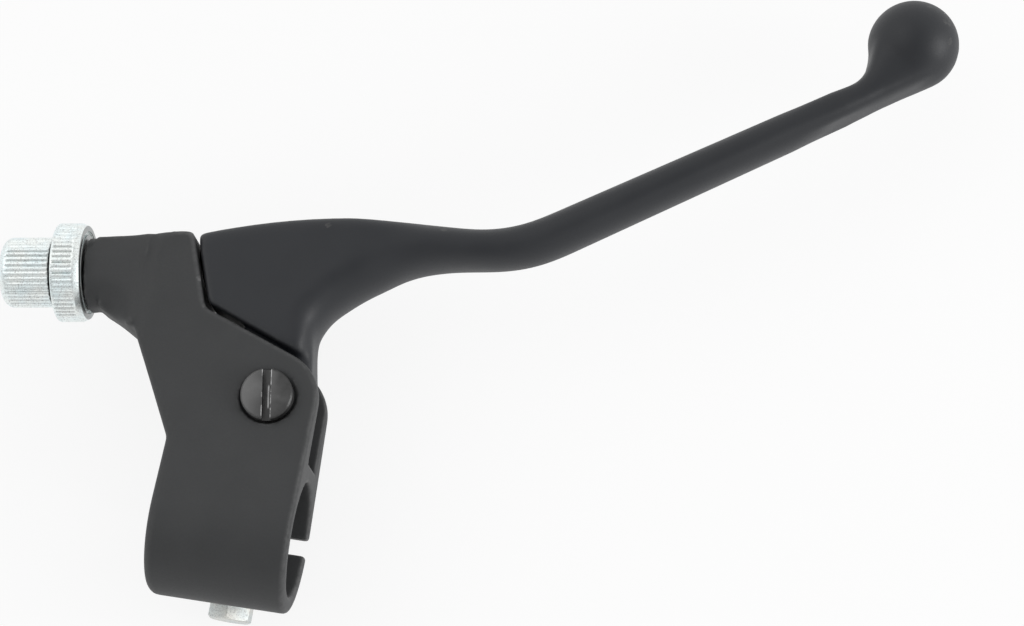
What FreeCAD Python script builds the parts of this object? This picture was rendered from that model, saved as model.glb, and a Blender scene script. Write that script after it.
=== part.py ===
import FreeCAD, Part
import math
import os
import Sketcher

# Hand lever for a cable brake: a cast perch that clamps on the handlebar, and a cast lever with a ball end.
# X runs along the handlebar, Y from the bar to the lever, Z along the pivot. The origin is on the bar's axis,
# at the middle of the clamp. Lengths are in millimetres, angles in degrees.

# Driving sizes, one cell each. The lever's places, from heel_foot_x to ball_y, are measured from the pivot.
SIZES = {
    # handlebar clamp
    "bar_bore": 11.1,
    "clamp_wall": 3.3,
    "clamp_left": 14.1,
    "split_low": -1.6,
    "split_width": 3.2,
    # clamp bolt and its lugs, behind the bar
    "bolt_x": -0.2,
    "bolt_depth": 16.2,
    "bolt_radius": 2.5,
    "bolt_length": 20.0,
    "bolt_hole": 22.0,
    "bolt_head_flats": 8.0,
    "bolt_head_height": 3.5,
    "bolt_seat": -12.5,
    "lug_radius": 5.6,
    "lug_top": 10.5,
    # pivot and the fork's ears
    "pivot_x": 3.6,
    "pivot_y": 25.1,
    "ear_radius": 9.5,
    "ear_half": 9.0,
    "shoulder": 32.0,
    "shoulder_round": 120.0,
    "fork_half": 6.0,
    "fork_floor": 14.2,
    "fork_side_gap": 1.0,
    "fork_corner": 3.0,
    # gap between the perch and the lever's heel
    "gap": 1.1,
    "gap_corner_x": -12.1,
    "gap_corner_y": 41.1,
    "gap_corner_round": 2.0,
    "gap_top_x": -17.2,
    "gap_top_y": 55.9,
    # arm and boss for the adjuster
    "boss_radius": 7.2,
    "boss_hole": 26.0,
    "boss_straight": 4.5,
    "boss_drop": 0.7,
    "arm_rise": 7.2,
    "top_corner": 1.0,
    "web_x": -25.1,
    "web_y": 34.8,
    "neck_y": 14.3,
    "neck_round": 2.5,
    "cast_edge": 2.0,
    "fine_edge": 0.9,
    # adjuster, its axis given by a point on the boss's end face and its slope to the bar
    "seat_x": -37.7,
    "seat_y": 46.6,
    "axis_slope": 8.5,
    "thread_radius": 4.0,
    "thread_length": 24.0,
    "thread_gap": 0.02,
    "wheel_radius": 9.85,
    "wheel_width": 5.8,
    "wheel_chamfer": 0.6,
    "wheel_gap": 0.4,
    "knob_radius": 7.0,
    "knob_length": 10.6,
    "knob_round": 2.0,
    "housing_radius": 3.25,
    "housing_depth": 9.0,
    "cable_radius": 1.4,
    # lever
    "tongue_radius": 7.8,
    "tongue_half": 5.75,
    "heel_half": 8.4,
    "heel_foot_x": 5.15,
    "heel_foot_drop": 1.45,
    "lever_crown_x": 4.58,
    "lever_crown_y": 39.15,
    "lever_crown_round": 135.0,
    "lever_dip_x": 39.73,
    "lever_dip_y": 40.62,
    "lever_dip_round": 31.0,
    "lever_crook_y": 17.92,
    "lever_crook_round": 10.0,
    "lever_arch_x": 19.68,
    "lever_arch_y": 31.94,
    "lever_arch_round": 41.0,
    "lever_elbow_x": 45.16,
    "lever_elbow_y": 35.45,
    "lever_elbow_round": 32.0,
    "blade_half": 6.0,
    "blade_taper_start": 12.0,
    "blade_taper_end": 40.0,
    "blade_taper_round": 60.0,
    "blade_edge": 2.6,
    "ball_x": 115.46,
    "ball_y": 93.3,
    "ball_radius": 9.2,
    "ball_neck_round": 7.0,
    # cable nipple seat in the heel
    "nipple_radius": 4.05,
    "nipple_along": 33.5,
    "nipple_floor": 4.5,
    "cable_slot": 2.6,
    "cable_slot_top": 1.6,
    # pivot hardware
    "pivot_radius": 3.0,
    "pivot_fit": 0.05,
    "bush_radius": 4.0,
    "screw_head_radius": 5.0,
    "screw_head_height": 3.3,
    "screw_head_chamfer": 0.35,
    "screw_slot_width": 1.6,
    "screw_slot_depth": 1.7,
    "spot_radius": 5.5,
    "spot_seat": 9.2,
    "nut_spot_radius": 6.4,
    "nut_flats": 10.0,
    "nut_height": 5.0,
    "screw_end": 1.0,
}

doc = FreeCAD.newDocument("hand_lever")
sheet = doc.addObject("Spreadsheet::Sheet", "Sizes")
for row, (name, size) in enumerate(SIZES.items(), start=1):
    sheet.set("A%d" % row, name)
    sheet.set("B%d" % row, str(size))
    sheet.setAlias("B%d" % row, name)
doc.recompute()


# Formulas: words for cells and plain numbers, joined by " + " and " - ", each word a product such as 2*gap
def number(formula):
    total = 0.0
    sign = 1.0
    for word in formula.split():
        if word in ("+", "-"):
            sign = 1.0 if word == "+" else -1.0
            continue
        product = sign
        for factor in word.split("*"):
            product *= float(sheet.get(factor)) if factor in SIZES else float(factor)
        total += product
    return total


def bound(formula):
    words = []
    for word in formula.split():
        factors = ["Sizes." + factor if factor in SIZES else factor for factor in word.split("*")]
        words.append(" * ".join(factors))
    return " ".join(words)


def bind(target, path, formula):
    target.setExpression(path, bound(formula))


def turned(vector, angle):
    return FreeCAD.Rotation(FreeCAD.Vector(0, 0, 1), math.degrees(angle)).multVec(vector)


# Bodies and sketches
def new_body(label):
    body = doc.addObject("PartDesign::Body", label)
    body.Label = label
    return body


def new_sketch(body, role, name):
    sketch = body.newObject("Sketcher::SketchObject", name)
    plane = next(item for item in body.Origin.OriginFeatures if item.Role == role)
    sketch.AttachmentSupport = [(plane, "")]
    sketch.MapMode = "FlatFace"
    return sketch


def measure(sketch, kind, references, formula):
    index = sketch.addConstraint(Sketcher.Constraint(kind, *references, number(formula)))
    bind(sketch, "Constraints[%d]" % index, formula)


def place(sketch, geometry, point, x, y):
    measure(sketch, "DistanceX", (geometry, point), x)
    measure(sketch, "DistanceY", (geometry, point), y)


def tangent_point(start, centre, radius, side):
    """Where a line from start touches a circle: side -1 passes it on its right, 1 on its left."""
    reach = centre - start
    swing = math.asin(radius / reach.Length)
    way = turned(reach, side * swing).normalize()
    return start + way * math.sqrt(reach.Length ** 2 - radius ** 2)


def add_outline(sketch, corners):
    """Closed outline, counter-clockwise. A corner is sharp (x, y), rounded (x, y, radius),
    or a hub (x, y, radius, "hub"): an arc about a known centre that both its lines touch."""
    count = len(corners)
    points = [FreeCAD.Vector(number(corner[0]), number(corner[1]), 0) for corner in corners]
    ends = []
    for i, corner in enumerate(corners):
        before = points[i - 1]
        after = points[(i + 1) % count]
        if len(corner) == 4:
            radius = number(corner[2])
            ends.append((tangent_point(before, points[i], radius, -1),
                         tangent_point(after, points[i], radius, 1)))
            continue
        back = (before - points[i]).normalize()
        ahead = (after - points[i]).normalize()
        if len(corners[i - 1]) == 4:
            touch = tangent_point(points[i], before, number(corners[i - 1][2]), 1)
            back = (touch - points[i]).normalize()
        if len(corners[(i + 1) % count]) == 4:
            touch = tangent_point(points[i], after, number(corners[(i + 1) % count][2]), -1)
            ahead = (touch - points[i]).normalize()
        reach = 0.0
        if len(corner) == 3:
            reach = number(corner[2]) / math.tan(back.getAngle(ahead) / 2)
        ends.append((points[i] + back * reach, points[i] + ahead * reach))
    lines = []
    for i in range(count):
        segment = Part.LineSegment(ends[i][1], ends[(i + 1) % count][0])
        lines.append(sketch.addGeometry(segment))
    for i, corner in enumerate(corners):
        before = lines[i - 1]
        after = lines[i]
        if len(corner) == 2:
            sketch.addConstraint(Sketcher.Constraint("Coincident", before, 2, after, 1))
            place(sketch, after, 1, corner[0], corner[1])
            continue
        add_corner_arc(sketch, corner, points[i], ends[i], before, after)


def add_corner_arc(sketch, corner, point, touch, before, after):
    radius = number(corner[2])
    arriving = points_way(sketch, before)
    leaving = points_way(sketch, after)
    turns_left = len(corner) == 4 or arriving.cross(leaving).z > 0
    inward = FreeCAD.Vector(-arriving.y, arriving.x, 0) * (radius if turns_left else -radius)
    centre = touch[0] + inward
    first, last = touch if turns_left else (touch[1], touch[0])
    start = math.atan2(first.y - centre.y, first.x - centre.x)
    stop = math.atan2(last.y - centre.y, last.x - centre.x)
    circle = Part.Circle(centre, FreeCAD.Vector(0, 0, 1), radius)
    arc = sketch.addGeometry(Part.ArcOfCircle(circle, start, stop if stop > start else stop + 2 * math.pi))
    sketch.addConstraint(Sketcher.Constraint("Tangent", before, 2, arc, 1 if turns_left else 2))
    sketch.addConstraint(Sketcher.Constraint("Tangent", after, 1, arc, 2 if turns_left else 1))
    measure(sketch, "Radius", (arc,), corner[2])
    if len(corner) == 4:
        place(sketch, arc, 3, corner[0], corner[1])
        return
    vertex = sketch.addGeometry(Part.Point(point), True)
    sketch.addConstraint(Sketcher.Constraint("PointOnObject", vertex, 1, before))
    sketch.addConstraint(Sketcher.Constraint("PointOnObject", vertex, 1, after))
    place(sketch, vertex, 1, corner[0], corner[1])


def points_way(sketch, line):
    segment = sketch.Geometry[line]
    return (segment.EndPoint - segment.StartPoint).normalize()


def add_circle(sketch, x, y, radius):
    centre = FreeCAD.Vector(number(x), number(y), 0)
    circle = sketch.addGeometry(Part.Circle(centre, FreeCAD.Vector(0, 0, 1), number(radius)))
    measure(sketch, "Radius", (circle,), radius)
    place(sketch, circle, 3, x, y)


def add_hexagon(sketch, x, y, flats):
    """Hexagon with two of its corners level with its centre."""
    corner = 1 / math.sqrt(3)
    across = ["0.5*" + flats, "%.6f*" % corner + flats, "%.6f*" % (corner / 2) + flats]
    add_outline(sketch, [
        (x + " + " + across[1], y),
        (x + " + " + across[2], y + " + " + across[0]),
        (x + " - " + across[2], y + " + " + across[0]),
        (x + " - " + across[1], y),
        (x + " - " + across[2], y + " - " + across[0]),
        (x + " + " + across[2], y + " - " + across[0]),
    ])


def add_box(sketch, low_x, high_x, low_y, high_y):
    add_outline(sketch, [(low_x, low_y), (high_x, low_y), (high_x, high_y), (low_x, high_y)])


# Features
def settle(feature):
    doc.recompute()
    if "Invalid" in feature.State or "Error" in feature.State or feature.Shape.isNull():
        raise RuntimeError("%s failed: %s" % (feature.Name, feature.getStatusString()))
    return feature


def extrude(body, kind, sketch, length, both_ways=True, backwards=False):
    feature = body.newObject("PartDesign::" + kind, sketch.Name + "_" + kind.lower())
    feature.Profile = sketch
    feature.SideType = "Symmetric" if both_ways else "One side"
    feature.Reversed = backwards
    if length:
        bind(feature, "Length", length)
    else:
        feature.Type = "ThroughAll"
    return settle(feature)


def cut(body, sketch, length=None, both_ways=True, backwards=False):
    before = body.Shape.Volume
    feature = extrude(body, "Pocket", sketch, length, both_ways, backwards)
    if body.Shape.Volume > before - 1e-6:
        raise RuntimeError(feature.Name + " cuts nothing")
    return feature


def trim_outside(body, role, name, corners, reach):
    """Cut away all that lies outside an outline, seen square to one of the body's planes."""
    sketch = new_sketch(body, role, name)
    add_box(sketch, "-1*" + reach, reach, "-1*" + reach, reach)
    add_outline(sketch, corners)
    return cut(body, sketch)


def revolve(body, sketch):
    """Turn a profile about its own X axis."""
    feature = body.newObject("PartDesign::Revolution", sketch.Name + "_turned")
    feature.Profile = sketch
    feature.ReferenceAxis = (sketch, ["H_Axis"])
    feature.Angle = 360
    return settle(feature)


def chamfer_edges(body, name, size, chosen):
    base = body.Tip
    feature = body.newObject("PartDesign::Chamfer", name)
    feature.Base = (base, ["Edge%d" % i for i, edge in enumerate(base.Shape.Edges, start=1) if chosen(edge)])
    bind(feature, "Size", size)
    return settle(feature)


def is_sharp(shape, edge):
    """True where the two faces beside an edge meet at an angle."""
    point = edge.valueAt((edge.FirstParameter + edge.LastParameter) / 2)
    normals = [face.normalAt(*face.Surface.parameter(point))
               for face in shape.ancestorsOfType(edge, Part.Face)]
    return len(normals) == 2 and normals[0].getAngle(normals[1]) > math.radians(10)


def round_edges(body, name, radius, chosen):
    base = body.Tip
    feature = body.newObject("PartDesign::Fillet", name)
    edges = []
    for i, edge in enumerate(base.Shape.Edges, start=1):
        if chosen(edge) and is_sharp(base.Shape, edge):
            edges.append("Edge%d" % i)
    feature.Base = (base, edges)
    bind(feature, "Radius", radius)
    return settle(feature)


# Places that the pieces share
AXIS_WAY = turned(FreeCAD.Vector(1, 0, 0), math.radians(number("axis_slope")))
SEAT = FreeCAD.Vector(number("seat_x"), number("seat_y"), 0)


def adjuster_plane(sketch, along):
    """Stand a sketch square to the adjuster's axis, a distance inwards from the boss's end face."""
    point = SEAT + AXIS_WAY * number(along)
    offset = FreeCAD.Placement()
    offset.Base = FreeCAD.Vector(point.y, 0, point.x)
    offset.Rotation = FreeCAD.Rotation(FreeCAD.Vector(0, 1, 0), number("axis_slope"))
    sketch.AttachmentOffset = offset


# Perch: clamp ring, arm, ears and boss in one casting
def make_perch():
    body = new_body("perch")
    plan = new_sketch(body, "XY_Plane", "perch_plan")
    below = "-1*bar_bore - 2*clamp_wall"
    add_outline(plan, [
        ("pivot_x + ear_radius", below),
        ("pivot_x", "pivot_y", "ear_radius", "hub"),
        ("gap_corner_x", "gap_corner_y", "gap_corner_round"),
        ("gap_top_x", "gap_top_y", "top_corner"),
        ("web_x", "seat_y + arm_rise"),
        ("web_x", "web_y"),
        ("-1*clamp_left", "neck_y", "neck_round"),
        ("-1*clamp_left", below),
    ])
    extrude(body, "Pad", plan, "4*bar_bore")
    trim_outside(body, "YZ_Plane", "perch_side", [
        ("0", "0", "bar_bore + clamp_wall", "hub"),
        ("shoulder", "-1*ear_half", "shoulder_round"),
        ("2*gap_top_y", "-1*ear_half"),
        ("2*gap_top_y", "ear_half"),
        ("shoulder", "ear_half", "shoulder_round"),
    ], "3*gap_top_y")
    round_edges(body, "perch_left_edges", "cast_edge", perch_left_edge)
    round_edges(body, "perch_right_edges", "fine_edge", perch_right_edge)
    add_boss(body)
    add_lugs(body)
    cut_perch(body)
    return body


def rim_edge(edge):
    """True for the edges where the perch's flanks meet its walls."""
    if edge.Curve.TypeId == "Part::GeomCircle" and edge.Length > 2 * number("bar_bore"):
        return True
    first = edge.Vertexes[0].Point
    last = edge.Vertexes[-1].Point
    crosses = abs(edge.tangentAt(edge.FirstParameter).x) > 0.999
    on_flank = min(abs(first.z), abs(last.z)) > number("ear_half") - 0.1
    return on_flank and first.z * last.z > 0 and not crosses


def perch_left_edge(edge):
    """True for the rims of the clamp's left end and of the flare above it."""
    points = [vertex.Point for vertex in edge.Vertexes]
    reach = max(point.x for point in points)
    height = max(point.y for point in points)
    return rim_edge(edge) and reach < 0.01 - number("clamp_left") and height < number("seat_y")


def perch_right_edge(edge):
    reach = max(vertex.Point.x for vertex in edge.Vertexes)
    return rim_edge(edge) and reach > number("web_x") + 0.01 and not perch_left_edge(edge)


def add_boss(body):
    sections = []
    for name, along in (("boss_end", "0"), ("boss_waist", "boss_straight")):
        sections.append(new_sketch(body, "YZ_Plane", name))
        adjuster_plane(sections[-1], along)
        round_box(sections[-1], "-1*boss_radius - boss_drop", "boss_radius - boss_drop", "boss_radius",
                  "0.9*boss_radius - 0.9*boss_drop", "0.9*boss_radius - 0.9*boss_drop")
    root = new_sketch(body, "YZ_Plane", "boss_root_section")
    bind(root, "AttachmentOffset.Base.z", "web_x")
    round_box(root, "web_y", "seat_y + arm_rise", "ear_half", "cast_edge", "fine_edge")
    loft = body.newObject("PartDesign::AdditiveLoft", "boss")
    loft.Profile = sections[0]
    loft.Sections = [sections[1], root]
    settle(loft)


def round_box(sketch, low, high, half, low_round, high_round):
    add_outline(sketch, [
        (low, "-1*" + half, low_round),
        (high, "-1*" + half, high_round),
        (high, half, high_round),
        (low, half, low_round),
    ])


def add_lugs(body):
    lug = new_sketch(body, "XZ_Plane", "clamp_lugs")
    bind(lug, "AttachmentOffset.Base.z", "-1*lug_top")
    add_outline(lug, [
        ("bolt_x + lug_radius", "-0.5*bar_bore"),
        ("bolt_x - lug_radius", "-0.5*bar_bore"),
        ("bolt_x", "-1*bolt_depth", "lug_radius", "hub"),
    ])
    extrude(body, "Pad", lug, "lug_top - bolt_seat", both_ways=False)


def cut_perch(body):
    bore = new_sketch(body, "YZ_Plane", "bar_bore_cut")
    add_circle(bore, "0", "0", "bar_bore")
    cut(body, bore)
    split = new_sketch(body, "YZ_Plane", "clamp_split")
    add_box(split, "split_low", "split_low + split_width", "-2*bolt_depth", "-0.5*bar_bore")
    cut(body, split)
    fork = new_sketch(body, "XY_Plane", "fork_slot")
    inner = "pivot_x - tongue_radius - fork_side_gap"
    add_outline(fork, [
        (inner, "fork_floor", "fork_corner"),
        ("2*clamp_left", "fork_floor"),
        ("2*clamp_left", "gap_top_y"),
        (inner, "gap_top_y"),
    ])
    cut(body, fork, "2*fork_half")
    pivot = new_sketch(body, "XY_Plane", "pivot_hole")
    add_circle(pivot, "pivot_x", "pivot_y", "pivot_radius + pivot_fit")
    cut(body, pivot)
    for side, seat, radius in (("near", "spot_seat", "spot_radius"),
                               ("far", "-1*spot_seat", "nut_spot_radius")):
        spot = new_sketch(body, "XY_Plane", side + "_spot_face")
        bind(spot, "AttachmentOffset.Base.z", seat)
        add_circle(spot, "pivot_x", "pivot_y", radius)
        cut(body, spot, both_ways=False, backwards=side == "near")
    bolt = new_sketch(body, "XZ_Plane", "bolt_hole_cut")
    bind(bolt, "AttachmentOffset.Base.z", "-1*bolt_seat")
    add_circle(bolt, "bolt_x", "-1*bolt_depth", "bolt_radius + thread_gap")
    cut(body, bolt, "bolt_hole", both_ways=False)
    thread = new_sketch(body, "YZ_Plane", "adjuster_hole")
    adjuster_plane(thread, "0")
    add_circle(thread, "0", "0", "thread_radius + thread_gap")
    cut(body, thread, "boss_hole", both_ways=False, backwards=True)


# Lever: heel, tongue, blade and ball in one casting
def make_lever():
    body = new_body("lever")
    foot_x = "pivot_x + heel_foot_x"
    plan = new_sketch(body, "XY_Plane", "lever_plan")
    add_outline(plan, [
        (foot_x, "pivot_y + ear_radius + gap - heel_foot_drop"),
        (foot_x, "pivot_y + lever_crook_y", "lever_crook_round"),
        ("pivot_x + lever_arch_x", "pivot_y + lever_arch_y", "lever_arch_round"),
        ("pivot_x + lever_elbow_x", "pivot_y + lever_elbow_y", "lever_elbow_round"),
        ("pivot_x + ball_x + 0.51*ball_radius", "pivot_y + ball_y - 0.775*ball_radius"),
        ("pivot_x + ball_x - 0.9*ball_radius", "pivot_y + ball_y - 0.2*ball_radius"),
        ("pivot_x + ball_x - ball_radius", "pivot_y + ball_y - 1.055*ball_radius", "ball_neck_round"),
        ("pivot_x + lever_dip_x", "pivot_y + lever_dip_y", "lever_dip_round"),
        ("pivot_x + lever_crown_x", "pivot_y + lever_crown_y", "lever_crown_round"),
        ("gap_top_x + 0.57*gap", "gap_top_y + 0.19*gap"),
        ("gap_corner_x + 0.3*gap", "gap_corner_y + 0.99*gap", "gap_corner_round"),
    ])
    extrude(body, "Pad", plan, "4*heel_half")
    start = "pivot_x + blade_taper_start"
    end = "pivot_x + blade_taper_end"
    trim_outside(body, "XZ_Plane", "lever_side", [
        ("2*gap_top_x", "-1*heel_half"),
        (start, "-1*heel_half", "blade_taper_round"),
        (end, "-1*blade_half", "blade_taper_round"),
        ("2*ball_x", "-1*blade_half"),
        ("2*ball_x", "blade_half"),
        (end, "blade_half", "blade_taper_round"),
        (start, "heel_half", "blade_taper_round"),
        ("2*gap_top_x", "heel_half"),
    ], "3*ball_x")
    round_edges(body, "blade_edges", "blade_edge", blade_rim_edge)
    round_edges(body, "heel_edges", "fine_edge", heel_rim_edge)
    ball = body.newObject("PartDesign::AdditiveSphere", "ball")
    bind(ball, "Radius", "ball_radius")
    bind(ball, "Placement.Base.x", "pivot_x + ball_x")
    bind(ball, "Placement.Base.y", "pivot_y + ball_y")
    settle(ball)
    tongue = new_sketch(body, "XY_Plane", "tongue_plan")
    add_outline(tongue, [
        (foot_x, "pivot_y + lever_crook_y"),
        ("pivot_x - tongue_radius", "pivot_y + lever_crook_y + gap"),
        ("pivot_x", "pivot_y", "tongue_radius", "hub"),
    ])
    extrude(body, "Pad", tongue, "2*tongue_half")
    cut_lever(body)
    return body


def lever_rim_edge(edge):
    """True for the edges where the lever's flanks meet its walls."""
    first = edge.Vertexes[0].Point
    last = edge.Vertexes[-1].Point
    crosses = abs(edge.tangentAt(edge.FirstParameter).y) > 0.9999
    on_flank = min(abs(first.z), abs(last.z)) > number("blade_half") - 0.01
    return on_flank and first.z * last.z > 0 and not crosses


def beside_gap(edge):
    """True for the edges of the heel that face the perch."""
    below = number("pivot_y + ear_radius + gap")
    left = number("gap_corner_x + 2*gap")
    return all(vertex.Point.y < below or vertex.Point.x < left for vertex in edge.Vertexes)


def blade_rim_edge(edge):
    ball_end = number("pivot_x + ball_x - 0.9*ball_radius")
    reach = min(vertex.Point.x for vertex in edge.Vertexes)
    return lever_rim_edge(edge) and not beside_gap(edge) and reach < ball_end


def heel_rim_edge(edge):
    return lever_rim_edge(edge) and beside_gap(edge)


def cut_lever(body):
    pivot = new_sketch(body, "XY_Plane", "bush_hole")
    add_circle(pivot, "pivot_x", "pivot_y", "bush_radius + pivot_fit")
    cut(body, pivot)
    nipple = new_sketch(body, "XY_Plane", "nipple_seat")
    cable_line_plane(nipple, "nipple_floor")
    add_circle(nipple, "0", "0", "nipple_radius")
    cut(body, nipple, both_ways=False)
    slot = new_sketch(body, "XY_Plane", "cable_slot_cut")
    cable_line_plane(slot, "cable_slot_top")
    add_box(slot, "-1*nipple_along", "0", "-0.5*cable_slot", "0.5*cable_slot")
    cut(body, slot, both_ways=False)


def cable_line_plane(sketch, height):
    """Lay a sketch flat at a height, its X along the cable and its origin at the nipple's centre."""
    point = SEAT + AXIS_WAY * number("nipple_along")
    offset = FreeCAD.Placement()
    offset.Base = FreeCAD.Vector(point.x, point.y, number(height))
    offset.Rotation = FreeCAD.Rotation(FreeCAD.Vector(0, 0, 1), number("axis_slope"))
    sketch.AttachmentOffset = offset
    bind(sketch, "AttachmentOffset.Base.z", height)


# Pivot: a sleeve between the ears, a slotted screw through it and a nut
def make_bush():
    body = new_body("pivot_bush")
    ring = new_sketch(body, "XY_Plane", "bush_ring")
    add_circle(ring, "pivot_x", "pivot_y", "bush_radius")
    add_circle(ring, "pivot_x", "pivot_y", "pivot_radius + pivot_fit")
    extrude(body, "Pad", ring, "2*fork_half")
    return body


def make_pivot_screw():
    body = new_body("pivot_screw")
    head = new_sketch(body, "XY_Plane", "screw_head")
    bind(head, "AttachmentOffset.Base.z", "spot_seat")
    add_circle(head, "pivot_x", "pivot_y", "screw_head_radius")
    extrude(body, "Pad", head, "screw_head_height", both_ways=False)
    crown = number("spot_seat + screw_head_height")
    chamfer_edges(body, "head_chamfer", "screw_head_chamfer",
                  lambda edge: abs(edge.CenterOfMass.z - crown) < 0.01)
    shank = new_sketch(body, "XY_Plane", "screw_shank")
    bind(shank, "AttachmentOffset.Base.z", "spot_seat")
    add_circle(shank, "pivot_x", "pivot_y", "pivot_radius")
    extrude(body, "Pad", shank, "2*spot_seat + nut_height + screw_end", both_ways=False, backwards=True)
    slot = new_sketch(body, "XY_Plane", "screw_slot")
    slot.AttachmentOffset = FreeCAD.Placement(
        FreeCAD.Vector(number("pivot_x"), number("pivot_y"), crown),
        FreeCAD.Rotation(FreeCAD.Vector(0, 0, 1), number("axis_slope")))
    add_box(slot, "-0.5*screw_slot_width", "0.5*screw_slot_width",
            "-2*screw_head_radius", "2*screw_head_radius")
    cut(body, slot, "screw_slot_depth", both_ways=False)
    return body


def make_pivot_nut():
    body = new_body("pivot_nut")
    nut = new_sketch(body, "XY_Plane", "nut_plan")
    bind(nut, "AttachmentOffset.Base.z", "-1*spot_seat")
    add_hexagon(nut, "pivot_x", "pivot_y", "nut_flats")
    add_circle(nut, "pivot_x", "pivot_y", "pivot_radius + thread_gap")
    extrude(body, "Pad", nut, "nut_height", both_ways=False, backwards=True)
    return body


# Clamp bolt: hex head under the lower lug, shank up through both lugs
def make_clamp_bolt():
    body = new_body("clamp_bolt")
    head = new_sketch(body, "XZ_Plane", "bolt_head")
    bind(head, "AttachmentOffset.Base.z", "-1*bolt_seat")
    add_hexagon(head, "bolt_x", "-1*bolt_depth", "bolt_head_flats")
    extrude(body, "Pad", head, "bolt_head_height", both_ways=False)
    shank = new_sketch(body, "XZ_Plane", "bolt_shank")
    bind(shank, "AttachmentOffset.Base.z", "-1*bolt_seat")
    add_circle(shank, "bolt_x", "-1*bolt_depth", "bolt_radius")
    extrude(body, "Pad", shank, "bolt_length", both_ways=False, backwards=True)
    return body


# Adjuster: a hollow knurled screw and its lock wheel, turned parts drawn along the adjuster's own axis
def make_adjuster():
    underside = "-1*wheel_width - 2*wheel_gap"
    end = underside + " - knob_length"
    body = new_body("adjuster_screw")
    profile = new_sketch(body, "XY_Plane", "adjuster_profile")
    add_outline(profile, [
        (end, "housing_radius"),
        (end + " + housing_depth", "housing_radius"),
        (end + " + housing_depth", "cable_radius"),
        (underside + " + thread_length", "cable_radius"),
        (underside + " + thread_length", "thread_radius"),
        (underside, "thread_radius"),
        (underside, "knob_radius"),
        (end, "knob_radius", "knob_round"),
    ])
    revolve(body, profile)
    body.Placement = adjuster_placement()
    return body


def make_lock_wheel():
    outer = "-1*wheel_width - wheel_gap"
    inner = "-1*wheel_gap"
    hole = "thread_radius + pivot_fit"
    body = new_body("lock_wheel")
    profile = new_sketch(body, "XY_Plane", "wheel_profile")
    add_outline(profile, [
        (outer, hole),
        (inner, hole),
        (inner, "wheel_radius - wheel_chamfer"),
        (inner + " - wheel_chamfer", "wheel_radius"),
        (outer + " + wheel_chamfer", "wheel_radius"),
        (outer, "wheel_radius - wheel_chamfer"),
    ])
    revolve(body, profile)
    body.Placement = adjuster_placement()
    return body


def adjuster_placement():
    return FreeCAD.Placement(SEAT, FreeCAD.Rotation(FreeCAD.Vector(0, 0, 1), number("axis_slope")))


PIECES = [make_perch(), make_lever(), make_bush(), make_pivot_screw(), make_pivot_nut(), make_clamp_bolt(),
          make_adjuster(), make_lock_wheel()]

# Every object must have built before anything is written
doc.recompute()
failed = [item.Label for item in doc.Objects if "Invalid" in item.State or "Error" in item.State]
failed += [piece.Label for piece in PIECES if piece.Shape.isNull() or not piece.Shape.isValid()]
if failed:
    raise RuntimeError("not built: " + ", ".join(failed))
os.makedirs("parts", exist_ok=True)
for piece in PIECES:
    piece.Shape.exportStep("parts/%s.step" % piece.Label)
    print("%-15s %9.1f mm3, %d solid" % (piece.Label, piece.Shape.Volume, len(piece.Shape.Solids)))
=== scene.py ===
import math

import bmesh
import bpy
import numpy as np
from mathutils import Matrix, Vector
from mathutils.bvhtree import BVHTree


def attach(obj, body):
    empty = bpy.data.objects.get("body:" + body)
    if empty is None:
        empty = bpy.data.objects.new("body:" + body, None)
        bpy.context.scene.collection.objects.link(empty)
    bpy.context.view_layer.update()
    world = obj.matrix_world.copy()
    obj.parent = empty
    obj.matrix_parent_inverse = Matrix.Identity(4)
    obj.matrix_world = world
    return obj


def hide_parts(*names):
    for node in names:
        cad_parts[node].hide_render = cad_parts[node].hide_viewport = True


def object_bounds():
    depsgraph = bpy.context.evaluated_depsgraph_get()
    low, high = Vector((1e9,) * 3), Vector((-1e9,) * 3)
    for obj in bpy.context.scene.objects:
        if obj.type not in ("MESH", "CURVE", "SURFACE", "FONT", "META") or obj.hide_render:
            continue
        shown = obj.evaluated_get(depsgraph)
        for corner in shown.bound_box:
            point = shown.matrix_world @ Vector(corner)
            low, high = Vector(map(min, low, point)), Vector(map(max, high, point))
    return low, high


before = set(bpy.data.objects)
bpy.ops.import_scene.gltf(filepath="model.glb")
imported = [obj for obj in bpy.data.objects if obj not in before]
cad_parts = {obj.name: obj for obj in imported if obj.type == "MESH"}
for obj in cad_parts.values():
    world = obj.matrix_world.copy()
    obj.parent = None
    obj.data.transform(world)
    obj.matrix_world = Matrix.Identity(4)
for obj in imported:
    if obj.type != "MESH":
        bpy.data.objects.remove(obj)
cad_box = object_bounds()

MM = 0.001

# Camera, fitted to the photograph
CAMERA_PLACE = Vector((70.948, -50.313, 399.889)) * MM
CAMERA_AIM = Vector((46.736, 50.789, 0.0)) * MM
CAMERA_UP = Vector((-0.153, 0.988, 0.0))
SENSOR_WIDTH = 36.0
FOCAL_PIXELS = 2086.9
IMAGE_WIDTH = 1024
NEAREST_SEEN = 10.0 * MM

# White tent, dimmer towards its opening, and its paper floor
TENT_LIGHT = 0.95
OPENING_LIGHT = 0.5
OPENING_WAY = (-0.1, -0.35, 0.93)
OPENING_RIM = 0.2
FLOOR_CLEARANCE = 0.2 * MM
FLOOR_REACH = 1.5
PAPER_GREY = 0.9
PAPER_GLOW = 0.85

# Softboxes: name, place and size in metres, power in watts
SOFTBOX_AIM = (0.04, 0.05, 0.0)
SOFTBOXES = (("right_softbox", (0.75, 0.05, 0.3), (0.4, 0.3), 2.0),
             ("left_softbox", (-0.5, 0.2, 0.7), (0.9, 0.7), 1.4))

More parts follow.
